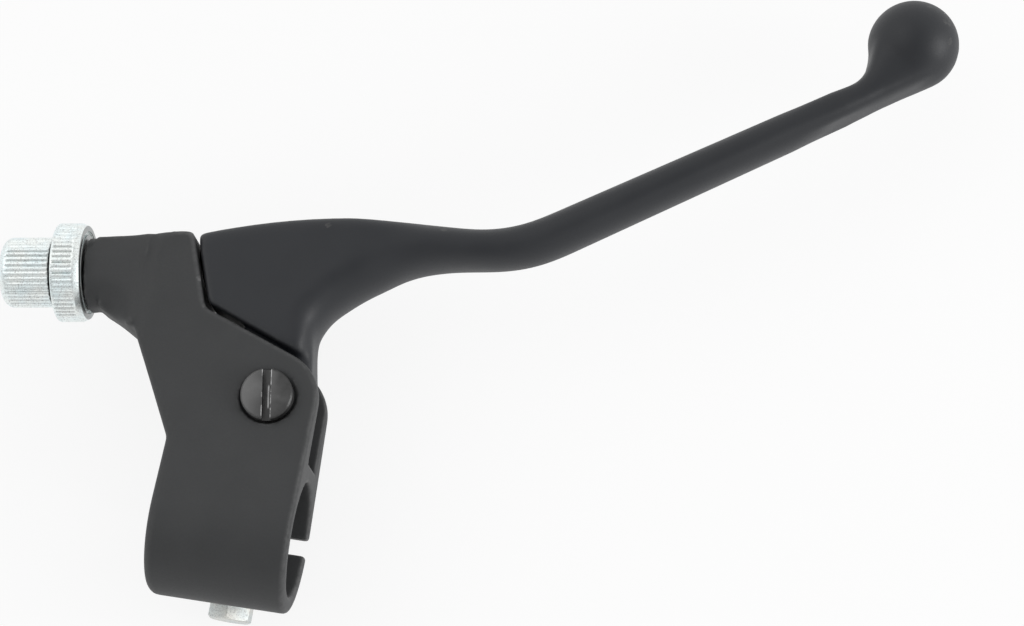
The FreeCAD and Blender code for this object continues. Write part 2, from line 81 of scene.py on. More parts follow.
# Colours, in pairs that a finish drifts between
CASTING_BLACKS = ((0.0280, 0.0293, 0.0305, 1.0), (0.0340, 0.0353, 0.0365, 1.0))
LEVER_BLACKS = ((0.0100, 0.0118, 0.0155, 1.0), (0.0130, 0.0148, 0.0185, 1.0))
BRIGHT_ZINCS = ((0.86, 0.95, 0.96, 1.0), (0.92, 0.96, 0.94, 1.0))
# Duller, dirtier zinc of the bolt and nut, darker also as painted shade
DULL_SHADED_ZINCS = ((0.62, 0.67, 0.67, 1.0), (0.70, 0.70, 0.66, 1.0))
SLEEVE_STEELS = ((0.5, 0.5, 0.51, 1.0), (0.58, 0.58, 0.58, 1.0))

# Cast skins, and places that are smoothed further: (x, y, reach in millimetres, passes)
PERCH_VOXEL = 0.375 * MM
LEVER_VOXEL = 0.36 * MM
MERGE_REACH = 0.002 * MM
CAST_SMOOTHING = 6
SMOOTHING_FACTOR = 0.5
REACH_LOST = 0.6
BALL_NECK = ((111.5, 109.5, 9.5, 90), (115.5, 106.5, 5.0, 30), (121.0, 110.5, 6.0, 40))
HEEL_CORNERS = ((10.5, 39.5, 8.0, 60), (-16.6, 56.2, 4.5, 20))
BOSS_ROOT = ((-27.0, 42.0, 9.0, 40), (-26.9, 55.7, 6.0, 20))

# Straight lines that the boss's hollow corners are filled up to, and how the filling fades
BOSS_UNDERSIDE = ((-34.8, 39.4), (-25.6, 34.9))
BOSS_TOP = ((-16.8, 55.85), (-38.0, 52.25))
FILL_DEEPEST = 3.6
FILL_FADE = 1.8
FILL_ENDS = 0.1
FACING_LEAST = 0.1
FACING_FADE = 0.5

# Line up the heel's arch and along the middle of the blade to the ball's neck, in rows a millimetre apart
BLADE_LINE = ((3.2, 37.5), (3.3, 40.0), (4.5, 44.8), (8.0, 49.9), (12.0, 54.0), (17.0, 57.6), (23.0, 60.3),
              (30.0, 61.6), (40.0, 62.6), (48.0, 64.4), (60.0, 72.3), (106.0, 102.7))
LINE_EASING = 4
SECTION_EASING = 3
ROW_SEARCHES = 6
HEEL_ROWS = 24.0
BLADE_FADE = 14.0
ARCH_FADE = 8.0
NECK_FADE = 12.0
HEEL_SWELL = 1.4
BLADE_SWELL = 0.7
BLADE_OVAL = 2.15

# Machined pieces
FLAT_ANGLE = math.radians(1.0)
BROKEN_FROM = math.radians(35)
BROKEN_STEPS = 2
SCREW_BREAK = 0.12
SLEEVE_BREAK = 0.15
SHARP_ANGLE = 40.0
HEX_SHARP_ANGLE = 30.0

# Adjuster, along its own axis from the boss's end face
ADJUSTER_TILT = math.radians(8.5)
ADJUSTER = Matrix.Translation(Vector((-37.7, 46.6, 0.0)) * MM) @ Matrix.Rotation(ADJUSTER_TILT, 4, "Z")
KNOB_END = -17.2
KNOB_FOOT = -6.6
KNOB_RADIUS = 7.0
KNOB_ROUND = 2.0
FOOT_ROUND = 0.15
FOOT_LEAD = 0.5
END_LEAD = 0.1
KNOB_ROWS = 26
NECK_LENGTH = 0.5
NECK_RADIUS = 5.2
HOUSING_RADIUS = 3.25
HOUSING_FLOOR = -8.2
MOUTH_BREAK = 0.25
CABLE_RADIUS = 1.4
STEM_RADIUS = 4.0
STEM_END = 17.4
STEM_PITCH = 1.25
STEM_THREAD = 0.62
STEM_BREAK = 0.3
STEM_TIP = 0.9
STEM_LEAD = 0.4
STEM_RUNOUT = 0.2
STEM_SIDES = 48

# Lock wheel, along the same axis, with a groove and a bevel on its inner face
WHEEL_OUTER = -6.2
WHEEL_INNER = -0.4
WHEEL_RADIUS = 9.85
WHEEL_ROUND = 0.4
WHEEL_ROWS = 22
HOLE_RADIUS = 4.05
HOLE_BREAK = 0.3
GROOVE_INNER = 7.5
GROOVE_OUTER = 8.3
GROOVE_DEPTH = 0.5
GROOVE_SLOPE = 0.1
BEVEL_LENGTH = 1.25
BEVEL_DROP = 0.7
BEVEL_ANGLE = 60.0
BEVEL_FOOT_ROUND = 0.25
BEVEL_TOP_ROUND = 0.3
BEVEL_LEAD = 0.15
FACE_LEAD = 0.05
RIM_START = 95.0

# Straight knurl of the knob and the wheel
KNOB_TEETH = 40
KNOB_SEED = 3
KNOB_KNURL_DROP = 0.6
KNOB_KNURL_START = 1.3
KNOB_KNURL_PAST = 0.8
KNOB_KNURL_RUNOUT = 0.7
WHEEL_TEETH = 56
WHEEL_SEED = 8
WHEEL_KNURL_DROP = 0.3
WHEEL_KNURL_START = 0.35
WHEEL_KNURL_END = 1.35
WHEEL_KNURL_RUNOUT = 0.25
SIDES_PER_TOOTH = 12
KNURL_DEPTH = 0.34
KNURL_LEAST = 0.35
KNURL_LAND = 0.3
KNURL_FORM = 1.3

# Screw threads
THREAD_LEAST_RADIUS = 2.25
THREAD_FLAT = 0.12
THREAD_END_DEPTH = 0.3
ROWS_PER_PITCH = 10

# Clamp bolt, up its own axis from the seat under the lower lug
BOLT = Matrix.Translation(Vector((-0.2, -12.5, -16.2)) * MM) @ Matrix.Rotation(math.radians(90), 4, "Z")
BOLT_FLATS = 8.0
BOLT_HEAD = 3.5
BOLT_RADIUS = 2.5
BOLT_LENGTH = 20.0
BOLT_PITCH = 0.8
BOLT_THREAD = 0.4
BOLT_TIP = 0.6
BOLT_LEAD = 0.4
BOLT_RUNOUT = 0.6
BOLT_SUNK = 0.2
BOLT_SIDES = 40

# Pivot screw, its axes turned so that Y runs along the slot
PIVOT_X = 3.6
PIVOT_Y = 25.1
SLOT_TURN = math.radians(8.5)
PIVOT = Matrix.Translation(Vector((PIVOT_X, PIVOT_Y, 0.0)) * MM) @ Matrix.Rotation(SLOT_TURN, 4, "Z")
SCREW_CROWN = 12.5
SLOT_WIDTH = 1.6

# Pivot nut, down from the far ear
FAR_EAR = -9.2
NUT = Matrix.Translation(Vector((PIVOT_X, PIVOT_Y, FAR_EAR)) * MM) @ Matrix.Rotation(math.radians(90), 4, "Y")
NUT_FLATS = 10.0
NUT_HEIGHT = 5.0
NUT_HOLE = 3.02

# Hexagons: shares of the width over the flats, and the cone that takes off the corners
HEX_SIDES = 96
CONE_TOUCH = 0.475
CONE_ANGLE = math.radians(30)
CONE_STEPS = 5
FACE_RING = 0.35


def grey(level):
    return (level, level, level, 1.0)


def show(name, data):
    holder = bpy.data.objects.new(name, data)
    bpy.context.collection.objects.link(holder)
    return holder


class Nodes:
    """A node tree, with short calls to add nodes to it."""

    def __init__(self, tree):
        self.tree = tree

    def add(self, kind, settings=None, **inputs):
        """Node of a kind, with settings of its own and with inputs by name, written with _ for a space."""
        node = self.tree.nodes.new(kind)
        for name, value in (settings or {}).items():
            setattr(node, name, value)
        for name, value in inputs.items():
            self.feed(node.inputs[name.replace("_", " ")], value)
        return node

    def feed(self, socket, value):
        if isinstance(value, bpy.types.NodeSocket):
            self.tree.links.new(value, socket)
        else:
            socket.default_value = value

    def maths(self, operation, first, second=0.0):
        node = self.add("ShaderNodeMath", {"operation": operation})
        self.feed(node.inputs[0], first)
        self.feed(node.inputs[1], second)
        return node.outputs[0]

    def vectors(self, operation, first, second):
        node = self.add("ShaderNodeVectorMath", {"operation": operation})
        self.feed(node.inputs[0], first)
        self.feed(node.inputs[1], second)
        return node.outputs

    def product(self, first, *others):
        for other in others:
            first = self.maths("MULTIPLY", first, other)
        return first

    def sum(self, first, second):
        return self.maths("ADD", first, second)

    def distance(self, value, place):
        """How far a value lies from a place, on either side of it."""
        return self.maths("ABSOLUTE", self.maths("SUBTRACT", value, place))

    def span(self, value, given, wanted=(0.0, 1.0)):
        """Value stretched from a given range to a wanted one, and held at both ends."""
        node = self.add("ShaderNodeMapRange", {"clamp": True}, Value=value, From_Min=given[0],
                        From_Max=given[1], To_Min=wanted[0], To_Max=wanted[1])
        return node.outputs["Result"]


# Camera, room and light
def add_camera():
    camera = bpy.data.cameras.new("camera")
    camera.sensor_width = SENSOR_WIDTH
    camera.lens = FOCAL_PIXELS / IMAGE_WIDTH * camera.sensor_width
    camera.clip_start = NEAREST_SEEN
    ahead = (CAMERA_AIM - CAMERA_PLACE).normalized()
    right = ahead.cross(CAMERA_UP).normalized()
    up = right.cross(ahead)
    turn = Matrix((right, up, -ahead)).transposed().to_4x4()
    holder = show("camera", camera)
    holder.matrix_world = Matrix.Translation(CAMERA_PLACE) @ turn
    bpy.context.scene.camera = holder


def add_softbox(name, place, size, power):
    lamp = bpy.data.lights.new(name, "AREA")
    lamp.shape = "RECTANGLE"
    lamp.size, lamp.size_y = size
    lamp.energy = power
    holder = show(name, lamp)
    holder.location = place
    holder.rotation_euler = (Vector(SOFTBOX_AIM) - Vector(place)).to_track_quat("-Z", "Y").to_euler()


def add_tent():
    world = bpy.data.worlds.new("studio")
    bpy.context.scene.world = world
    world.use_nodes = True
    tent = Nodes(world.node_tree)
    sky = world.node_tree.nodes["Background"]
    way = tent.add("ShaderNodeTexCoord").outputs["Generated"]
    facing = tent.vectors("DOT_PRODUCT", way, OPENING_WAY)["Value"]
    tent.feed(sky.inputs["Color"], grey(1.0))
    tent.feed(sky.inputs["Strength"], tent.span(facing, (OPENING_RIM, 1.0), (TENT_LIGHT, OPENING_LIGHT)))


def seen_ray(paper):
    """1 for rays that show the paper itself: straight from the camera, off gloss or through glass."""
    path = paper.add("ShaderNodeLightPath").outputs
    seen = path["Is Camera Ray"]
    for kind in ("Is Glossy Ray", "Is Transmission Ray"):
        seen = paper.maths("MAXIMUM", seen, path[kind])
    return seen


def white_paper():
    """Paper that is lit as paper is, but glows a little where it is seen."""
    material = bpy.data.materials.new("white_paper")
    material.use_nodes = True
    material.node_tree.nodes.clear()
    paper = Nodes(material.node_tree)
    lit = paper.add("ShaderNodeBsdfDiffuse", Color=grey(PAPER_GREY))
    white = paper.add("ShaderNodeEmission", Strength=1.0)
    mix = paper.add("ShaderNodeMixShader", Fac=paper.product(seen_ray(paper), PAPER_GLOW))
    paper.feed(mix.inputs[1], lit.outputs[0])
    paper.feed(mix.inputs[2], white.outputs[0])
    paper.add("ShaderNodeOutputMaterial", Surface=mix.outputs[0])
    return material


def add_floor():
    low = cad_box[0][2] - FLOOR_CLEARANCE
    corners = [(x * FLOOR_REACH, y * FLOOR_REACH, low) for x, y in ((-1, -1), (1, -1), (1, 1), (-1, 1))]
    floor = bpy.data.meshes.new("floor")
    floor.from_pydata(corners, [], [(0, 1, 2, 3)])
    floor.materials.append(white_paper())
    holder = show("floor", floor)


# Finishes
class Finish(Nodes):
    """A piece's material on the Principled shader, with its patterns laid out by place on the piece."""

    def __init__(self, name, roughness, metallic=0.0):
        self.material = bpy.data.materials.new(name)
        self.material.use_nodes = True
        super().__init__(self.material.node_tree)
        self.shader = self.tree.nodes["Principled BSDF"]
        self.look(Metallic=metallic, Roughness=roughness)
        self.place = self.add("ShaderNodeTexCoord").outputs["Object"]

    def look(self, **inputs):
        for name, value in inputs.items():
            self.feed(self.shader.inputs[name.replace("_", " ")], value)

    def noise(self, grain, detail=2.0, roughness=0.5):
        """Noise whose patches are about a given number of millimetres across."""
        return self.add("ShaderNodeTexNoise", Vector=self.place, Scale=1.0 / (grain * MM), Detail=detail,
                        Roughness=roughness).outputs["Fac"]

    def mix(self, share, first, second):
        node = self.add("ShaderNodeMix", {"data_type": "RGBA"})
        self.feed(node.inputs[0], share)
        self.feed(node.inputs[6], first)
        self.feed(node.inputs[7], second)
        return node.outputs[2]

    def bump(self, height, depth, strength):
        """Relief from a height of 0 to 1, which stands for a depth in millimetres."""
        node = self.add("ShaderNodeBump", Height=height, Distance=depth * MM, Strength=strength)
        self.look(Normal=node.outputs["Normal"])

    def pointiness(self):
        return self.add("ShaderNodeNewGeometry").outputs["Pointiness"]

    def along_adjuster(self):
        """Place along the adjuster's axis, in millimetres from the boss's end face."""
        axis = ADJUSTER.to_3x3() @ Vector((1.0, 0.0, 0.0))
        along = self.vectors("DOT_PRODUCT", self.place, axis)["Value"]
        return self.product(self.maths("SUBTRACT", along, axis.dot(ADJUSTER.translation)), 1.0 / MM)

    def specks(self, spacing, largest, share, edge=0.35):
        """Small round specks, one at most in each cell, and only in a share of the cells."""
        cells = self.add("ShaderNodeTexVoronoi", Vector=self.place, Scale=1.0 / (spacing * MM),
                         Randomness=1.0)
        pick = self.add("ShaderNodeSeparateColor", Color=cells.outputs["Color"]).outputs["Red"]
        radius = self.span(pick, (1.0 - share, 1.0), (0.0, largest / spacing))
        inside = self.maths("SUBTRACT", radius, cells.outputs["Distance"])
        return self.span(inside, (0.0, edge * largest / spacing))


# Ranges of a noise: its patches with soft edges, and nearly all of its values
PATCH_BAND = (0.35, 0.65)
NOISE_BAND = (0.3, 0.7)

# Black coat of the castings
COAT_PATCH = 9.0
COAT_WAVE = 4.0
COAT_WAVE_SHARE = 2.0
COAT_GLOSS_DRIFT = 0.04
# Pale edges: wear, and a painted highlight along the rounded edges
WEAR_AND_HIGHLIGHT_PATCH = 1.2
WEAR_AND_HIGHLIGHT_BAND = (0.35, 0.7)
WEAR_AND_HIGHLIGHT_LEAST = 0.25
WORN_AND_HIGHLIT_EDGE = (0.51, 0.55)
DUST_SPACING = 4.0
DUST_LARGEST = 0.13
DUST_SHARE = 0.3
DUST_GREY = 0.3


def cast_coat(name, dark, light, worn_and_highlit, roughness, grain):
    """Black coat on a casting: fine grain, faint patches, pale edges that are worn and also carry a painted
    highlight, and a little dust.
    """
    coat = Finish(name, roughness)
    patches = coat.noise(COAT_PATCH, detail=3.0)
    base = coat.mix(coat.span(patches, PATCH_BAND), dark, light)
    # Wear and painted highlight: edges lightened by pointiness, broken up by noise
    broken = coat.span(coat.noise(WEAR_AND_HIGHLIGHT_PATCH, detail=3.0), WEAR_AND_HIGHLIGHT_BAND, (WEAR_AND_HIGHLIGHT_LEAST, 1.0))
    base = coat.mix(coat.product(coat.span(coat.pointiness(), WORN_AND_HIGHLIT_EDGE), broken), base, worn_and_highlit)
    base = coat.mix(coat.specks(DUST_SPACING, DUST_LARGEST, DUST_SHARE), base, grey(DUST_GREY))
    fine = coat.noise(grain, roughness=0.6)
    drift = coat.span(patches, NOISE_BAND, (roughness - COAT_GLOSS_DRIFT, roughness + COAT_GLOSS_DRIFT))
    grainy = coat.span(fine, NOISE_BAND, (-COAT_GLOSS_DRIFT, COAT_GLOSS_DRIFT))
    coat.look(Base_Color=base, Roughness=coat.sum(drift, grainy))
    waves = coat.product(coat.noise(COAT_WAVE), COAT_WAVE_SHARE)
    coat.bump(coat.sum(fine, waves), depth=0.02, strength=0.5)
    return coat.material


# Zinc plate, with places along the adjuster in millimetres
ZINC_PATCH = 3.5
ZINC_GRAIN = 0.3
ZINC_GLOSS_DRIFT = 0.1
PIT_BAND = (0.36, 0.5)
PIT_SHARE = 0.6
PIT_GREY = 0.3
# Painted shade in the hollows: the knurl's valleys and the wheel's groove
HOLLOW_SHADE_BAND = (0.38, 0.48)
HOLLOW_SHADE_SHARE = 0.9
HOLLOW_SHADE_GREY = 0.2
# Painted shade and painted reflection of the dark boss, on the wheel's inner face
FACE_SHADE_FADE = (0.2, 0.1)
FACE_SHADE_SHARE = 0.7
FACE_SHADE_GREY = 0.12
# Painted shade about the knob's neck, next to the wheel
NECK_SHADE_FADE = (0.5, 0.3)
NECK_SHADE_RAGGED = 0.12
NECK_SHADE_GREY = 0.06


def zinc_plate(name, cool, warm, roughness):
    """Zinc with a drifting tint and fine pits, and painted shade in the hollows, on the wheel's inner face,
    with a painted reflection of the dark boss there, and about the knob's neck.
    """
    zinc = Finish(name, roughness, metallic=1.0)
    grain = zinc.noise(ZINC_GRAIN, detail=4.0, roughness=0.7)
    base = zinc.mix(zinc.span(zinc.noise(ZINC_PATCH), PATCH_BAND), cool, warm)
    base = zinc.mix(zinc.span(grain, PIT_BAND, (PIT_SHARE, 0.0)), base, grey(PIT_GREY))
    # Painted shade: darker grey where pointiness is low, in the hollows
    base = zinc.mix(zinc.span(zinc.pointiness(), HOLLOW_SHADE_BAND, (HOLLOW_SHADE_SHARE, 0.0)), base, grey(HOLLOW_SHADE_GREY))
    along = zinc.along_adjuster()
    # Painted shade and painted reflection of the dark boss: the wheel's inner face darkened
    from_face = zinc.distance(along, WHEEL_INNER)
    base = zinc.mix(zinc.span(from_face, FACE_SHADE_FADE, (0.0, FACE_SHADE_SHARE)), base, grey(FACE_SHADE_GREY))
    # Painted shade: darker grey with a ragged edge about the knob's neck, where the wheel shades it
    from_neck = zinc.distance(along, KNOB_FOOT - 0.5 * NECK_LENGTH)
    ragged = zinc.span(grain, NOISE_BAND, (-NECK_SHADE_RAGGED, NECK_SHADE_RAGGED))
    neck_shade = zinc.span(zinc.sum(from_neck, ragged), NECK_SHADE_FADE)
    rough = zinc.span(grain, NOISE_BAND, (roughness + ZINC_GLOSS_DRIFT, roughness - ZINC_GLOSS_DRIFT))
    zinc.look(Base_Color=zinc.mix(neck_shade, base, grey(NECK_SHADE_GREY)), Roughness=rough)
    zinc.bump(grain, depth=0.06, strength=0.7)
    return zinc.material


# Blackened head of the pivot screw, in metres across the slot, along it and down from the crown
# Painted light: the head lighter on one side of the slot and darker on the other
HEAD_SHADING_REACH = (-3.5 * MM, 3.5 * MM)
HEAD_LIT_AND_SHADED_GREYS = (0.165, 0.075)
HEAD_PATCH = 1.6
HEAD_PATCH_SHARE = 0.2
HEAD_GLOSS = (0.44, 0.36)
# Painted shade inside the slot
SLOT_SHADE_EDGE = (0.5 * SLOT_WIDTH * MM, 0.44 * SLOT_WIDTH * MM)
SLOT_SHADE_DEPTH = (0.1 * MM, 0.4 * MM)
SLOT_SHADE_GREY = 0.08
LIP_FADE = (0.2 * MM, 0.08 * MM)
LIP_DEPTH = (0.3 * MM, 0.15 * MM)
LIP_PATCH = 1.1
LIP_BAND = (0.42, 0.58)
# A pale strip down the slot: a scrape, and a painted glint
SCRAPE_GLINT_ACROSS = 0.22 * MM
SCRAPE_GLINT_FADE = (0.2 * MM, 0.1 * MM)
SCRAPE_GLINT_MIDDLE = -0.3 * MM
SCRAPE_GLINT_REACH = (2.4 * MM, 1.9 * MM)
SCRAPE_GLINT_DEPTH = (1.0 * MM, 1.4 * MM)
SCRAPE_GLINT_SHARE = 0.8
BARE_AND_GLINT_GREY = 0.5


def turned_black(name):
    """Blackened steel with gloss that runs out from the middle, painted light from one side of the head to
    the other, painted shade in the slot, a pale strip down it that is a scrape and a painted glint, and lips
    bared by a driver.
    """
    steel = Finish(name, roughness=0.4, metallic=1.0)
    outward = steel.vectors("SUBTRACT", steel.place, PIVOT.translation)["Vector"]
    steel.look(Anisotropic=0.85, Tangent=outward)
    turn = PIVOT.to_3x3().inverted()
    local = steel.add("ShaderNodeMapping", {"vector_type": "POINT"}, Vector=steel.place,
                      Location=-(turn @ PIVOT.translation), Rotation=turn.to_euler())
    across, along, up = steel.add("ShaderNodeSeparateXYZ", Vector=local.outputs["Vector"]).outputs
    from_middle = steel.distance(across, 0.0)
    depth = steel.maths("SUBTRACT", SCREW_CROWN * MM, up)

    from_lip = steel.distance(from_middle, 0.5 * SLOT_WIDTH * MM)
    lip = steel.product(steel.span(from_lip, LIP_FADE), steel.span(depth, LIP_DEPTH),
                        steel.span(steel.noise(LIP_PATCH, detail=3.0), LIP_BAND))
    # Scrape and painted glint: a pale strip down the slot's floor
    scrape_glint = steel.product(steel.span(steel.distance(across, SCRAPE_GLINT_ACROSS), SCRAPE_GLINT_FADE),
                           steel.span(steel.distance(along, SCRAPE_GLINT_MIDDLE), SCRAPE_GLINT_REACH),
                           steel.span(depth, SCRAPE_GLINT_DEPTH), SCRAPE_GLINT_SHARE)
    # Painted shade: the inside of the slot darker
    slot_shade = steel.product(steel.span(from_middle, SLOT_SHADE_EDGE), steel.span(depth, SLOT_SHADE_DEPTH))
    patches = steel.span(steel.noise(HEAD_PATCH), NOISE_BAND)
    # Painted light across the head, from a lit grey to a shaded grey, with random patches over it
    shading_and_patches = steel.sum(steel.span(across, HEAD_SHADING_REACH, (0.0, 1.0 - HEAD_PATCH_SHARE)),
                          steel.product(patches, HEAD_PATCH_SHARE))
    base = steel.mix(shading_and_patches, grey(HEAD_LIT_AND_SHADED_GREYS[0]), grey(HEAD_LIT_AND_SHADED_GREYS[1]))
    base = steel.mix(slot_shade, base, grey(SLOT_SHADE_GREY))
    # Bare grey on the worn lips, and on the scrape down the slot, which is also a painted glint
    base = steel.mix(steel.sum(lip, scrape_glint), base, grey(BARE_AND_GLINT_GREY))
    steel.look(Base_Color=base, Roughness=steel.span(patches, (0.0, 1.0), HEAD_GLOSS))
    steel.bump(steel.noise(0.5, detail=3.0), depth=0.01, strength=0.5)
    return steel.material


def plain_steel(name):
    """Turned steel of the sleeve, with rings about the pivot."""
    steel = Finish(name, roughness=0.35, metallic=1.0)
    steel.look(Base_Color=steel.mix(steel.noise(2.0), *SLEEVE_STEELS))
    rings = steel.add("ShaderNodeTexWave", {"bands_direction": "Z"}, Vector=steel.place, Scale=1100.0,
                      Distortion=0.5)
    steel.bump(rings.outputs["Fac"], depth=0.006, strength=0.6)
    return steel.material


# Meshes
def piece_from(mesh, name, finish, body, slot_name, *nodes):
    mesh.name = name
    piece = show(name, mesh)
    mesh.materials.clear()
    mesh.materials.append(finish)
    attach(piece, body)
    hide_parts(*nodes)


def merged_copy(node_name):
    """Copy of a solid's mesh with its loose triangles joined at their corners."""
    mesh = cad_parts[node_name].data.copy()
    shape = bmesh.new()
    shape.from_mesh(mesh)
    bmesh.ops.remove_doubles(shape, verts=shape.verts, dist=MERGE_REACH)
    shape.to_mesh(mesh)
    shape.free()
    return mesh


def with_modifiers(mesh, add_modifiers):
    """Mesh as it comes out of the modifiers that a function adds to its object."""
    holder = show("working", mesh)
    add_modifiers(holder)
    graph = bpy.context.evaluated_depsgraph_get()
    result = bpy.data.meshes.new_from_object(holder.evaluated_get(graph))
    bpy.data.objects.remove(holder)
    return result


def smooth_by_angle(mesh, angle=SHARP_ANGLE):
    mesh.shade_smooth()
    mesh.set_sharp_from_angle(angle=math.radians(angle))
    return mesh


def smooth_step(share):
    share = np.clip(share, 0.0, 1.0)
    return share * share * (3.0 - 2.0 * share)


def points_of(mesh):
    points = np.zeros(3 * len(mesh.vertices))
    mesh.vertices.foreach_get("co", points)
    return points.reshape(-1, 3)


def move_points(mesh, points):
    mesh.vertices.foreach_set("co", points.ravel())
    mesh.update()
    return mesh


# Castings
def cast_skin(node_name, voxel):
    """One soft skin over a solid, as a casting has."""
    def add_modifiers(holder):
        remesh = holder.modifiers.new("skin", "REMESH")
        remesh.mode = "VOXEL"
        remesh.voxel_size = voxel
        remesh.use_smooth_shade = True
        smooth = holder.modifiers.new("soft_edges", "SMOOTH")
        smooth.factor = SMOOTHING_FACTOR
        smooth.iterations = CAST_SMOOTHING
    return with_modifiers(merged_copy(node_name), add_modifiers)


def soften_near(mesh, places):
    """Smooth a casting's skin about some places, less towards the rim of each."""
    shape = bmesh.new()
    shape.from_mesh(mesh)
    for x, y, reach, passes in places:
        middle = Vector((x, y)) * MM
        near = [((vert.co.xy - middle).length, vert) for vert in shape.verts]
        near = [(distance, vert) for distance, vert in near if distance < reach * MM]
        for i in range(passes):
            limit = reach * MM * (1.0 - REACH_LOST * i / passes)
            verts = [vert for distance, vert in near if distance < limit]
            bmesh.ops.smooth_vert(shape, verts=verts, factor=SMOOTHING_FACTOR, use_axis_x=True,
                                  use_axis_y=True, use_axis_z=True)
    shape.to_mesh(mesh)
    shape.free()
    return mesh


def fill_hollow(mesh, start, end):
    """Fill a hollow corner of a casting's wall up to the straight line between two places."""
    points = points_of(mesh)
    normals = np.zeros(points.size)
    mesh.vertex_normals.foreach_get("vector", normals)
    start = np.array(start) * MM
    end = np.array(end) * MM
    length = np.linalg.norm(end - start)
    way = (end - start) / length
    out = np.array((way[1], -way[0]))
    along = (points[:, :2] - start) @ way / length
    short = np.maximum((start - points[:, :2]) @ out, 0.0)
    facing = normals.reshape(-1, 3)[:, :2] @ out
    share = smooth_step((facing - FACING_LEAST) / FACING_FADE)
    share *= smooth_step((FILL_DEEPEST - short / MM) / FILL_FADE)
    share *= smooth_step(along / FILL_ENDS) * smooth_step((1.0 - along) / FILL_ENDS)
    points[:, :2] += out * (short * share)[:, None]
    return move_points(mesh, points)


def eased(rows, span):
    """Running mean over a span of rows to each side, with the ends held."""
    padded = np.concatenate([rows[:1]] * span + [rows] + [rows[-1:]] * span)
    return np.mean([padded[i:i + len(rows)] for i in range(2 * span + 1)], axis=0)


def directions(line):
    way = np.gradient(line, axis=0)
    return way / np.linalg.norm(way, axis=1)[:, None]


def on_blade(row):
    """0 in the heel, where only the arch is rounded, and 1 in the blade, where the whole section is."""
    return smooth_step((row - HEEL_ROWS) / BLADE_FADE)


def blade_sections(mesh):
    """Rows along the blade's line: middle, direction, and reach above it, below it and to the side."""
    tree = BVHTree.FromPolygons([vert.co for vert in mesh.vertices],
                                [face.vertices for face in mesh.polygons])
    corners = np.array(BLADE_LINE) * MM
    reach = np.concatenate(([0.0], np.cumsum(np.linalg.norm(np.diff(corners, axis=0), axis=1))))
    along = np.arange(0.0, reach[-1], MM)
    line = np.stack([np.interp(along, reach, corners[:, axis]) for axis in (0, 1)], axis=1)
    middle = eased(line, LINE_EASING)
    way = directions(middle)
    half = np.zeros((len(middle), 3))
    centred = on_blade(np.arange(len(middle)))
    for i, ((x, y), (dx, dy)) in enumerate(zip(middle, way)):
        point = Vector((x, y, 0.0))
        above = tree.ray_cast(point, Vector((-dy, dx, 0.0)))[3]
        below = tree.ray_cast(point, Vector((dy, -dx, 0.0)))[3]
        shift = 0.5 * (above - below) * centred[i]
        middle[i] += np.array((-dy, dx)) * shift
        half[i] = above - shift, below + shift, tree.ray_cast(point, Vector((0.0, 0.0, 1.0)))[3]
    middle = eased(middle, SECTION_EASING)
    return middle, directions(middle), eased(half, SECTION_EASING)


def round_blade(mesh):
    """Make the blade's section an oval, as cast, which fades into the heel and into the ball's neck."""
    middle, way, half = blade_sections(mesh)
    points = points_of(mesh)
    flat = points[:, :2]
    last = len(middle) - 1
    row = np.argmin(((flat[:, None, :] - middle[None, :, :]) ** 2).sum(axis=2), axis=1).astype(float)

    def at_row(table):
        low = np.clip(row.astype(int), 0, last - 1)
        share = (row - low)[:, None]
        return table[low] * (1.0 - share) + table[low + 1] * share

    for _ in range(ROW_SEARCHES):
        row = np.clip(row + ((flat - at_row(middle)) * at_row(way)).sum(axis=1) / MM, 0.0, last)
    centre = at_row(middle)
    ahead = at_row(way)
    aside = np.stack([-ahead[:, 1], ahead[:, 0]], axis=1)
    height = ((flat - centre) * aside).sum(axis=1)
    blade = on_blade(row)
    above, below, width = at_row(half).T
    size = np.where(height > 0.0, above, below) + (HEEL_SWELL + (BLADE_SWELL - HEEL_SWELL) * blade) * MM
    angle = np.arctan2(points[:, 2] / width, height / size)
    reach = np.abs(np.cos(angle)) ** BLADE_OVAL + np.abs(np.sin(angle)) ** BLADE_OVAL
    reach = reach ** (-1.0 / BLADE_OVAL)
    oval = np.empty_like(points)
    oval[:, :2] = centre + aside * (reach * np.cos(angle) * size)[:, None]
    oval[:, 2] = reach * np.sin(angle) * width
    share = np.where(height > 0.0, blade, smooth_step(row / ARCH_FADE))
    share = (share * smooth_step((last - row) / NECK_FADE))[:, None]
    return move_points(mesh, points * (1.0 - share) + oval * share)


def make_castings(perch_coat, lever_coat):
    perch = cast_skin("perch", PERCH_VOXEL)
    perch = fill_hollow(fill_hollow(perch, *BOSS_UNDERSIDE), *BOSS_TOP)
    perch = soften_near(perch, BOSS_ROOT)
    piece_from(perch, "perch_casting", perch_coat, "bracket", "black_casting", "perch")
    lever = round_blade(cast_skin("lever", LEVER_VOXEL))
    lever = soften_near(lever, HEEL_CORNERS + BALL_NECK)
    piece_from(lever, "lever_casting", lever_coat, "lever", "black_lever", "lever")


# Screw and sleeve of the pivot
def machined_copy(node_name, edge_break):
    """Copy of a solid's mesh with its flat faces whole and its sharp edges broken."""
    def add_modifiers(holder):
        bevel = holder.modifiers.new("broken_edges", "BEVEL")
        bevel.width = edge_break * MM
        bevel.segments = BROKEN_STEPS
        bevel.limit_method = "ANGLE"
        bevel.angle_limit = BROKEN_FROM
    mesh = merged_copy(node_name)
    shape = bmesh.new()
    shape.from_mesh(mesh)
    bmesh.ops.dissolve_limit(shape, angle_limit=FLAT_ANGLE, verts=shape.verts, edges=shape.edges)
    shape.to_mesh(mesh)
    shape.free()
    return smooth_by_angle(with_modifiers(mesh, add_modifiers))


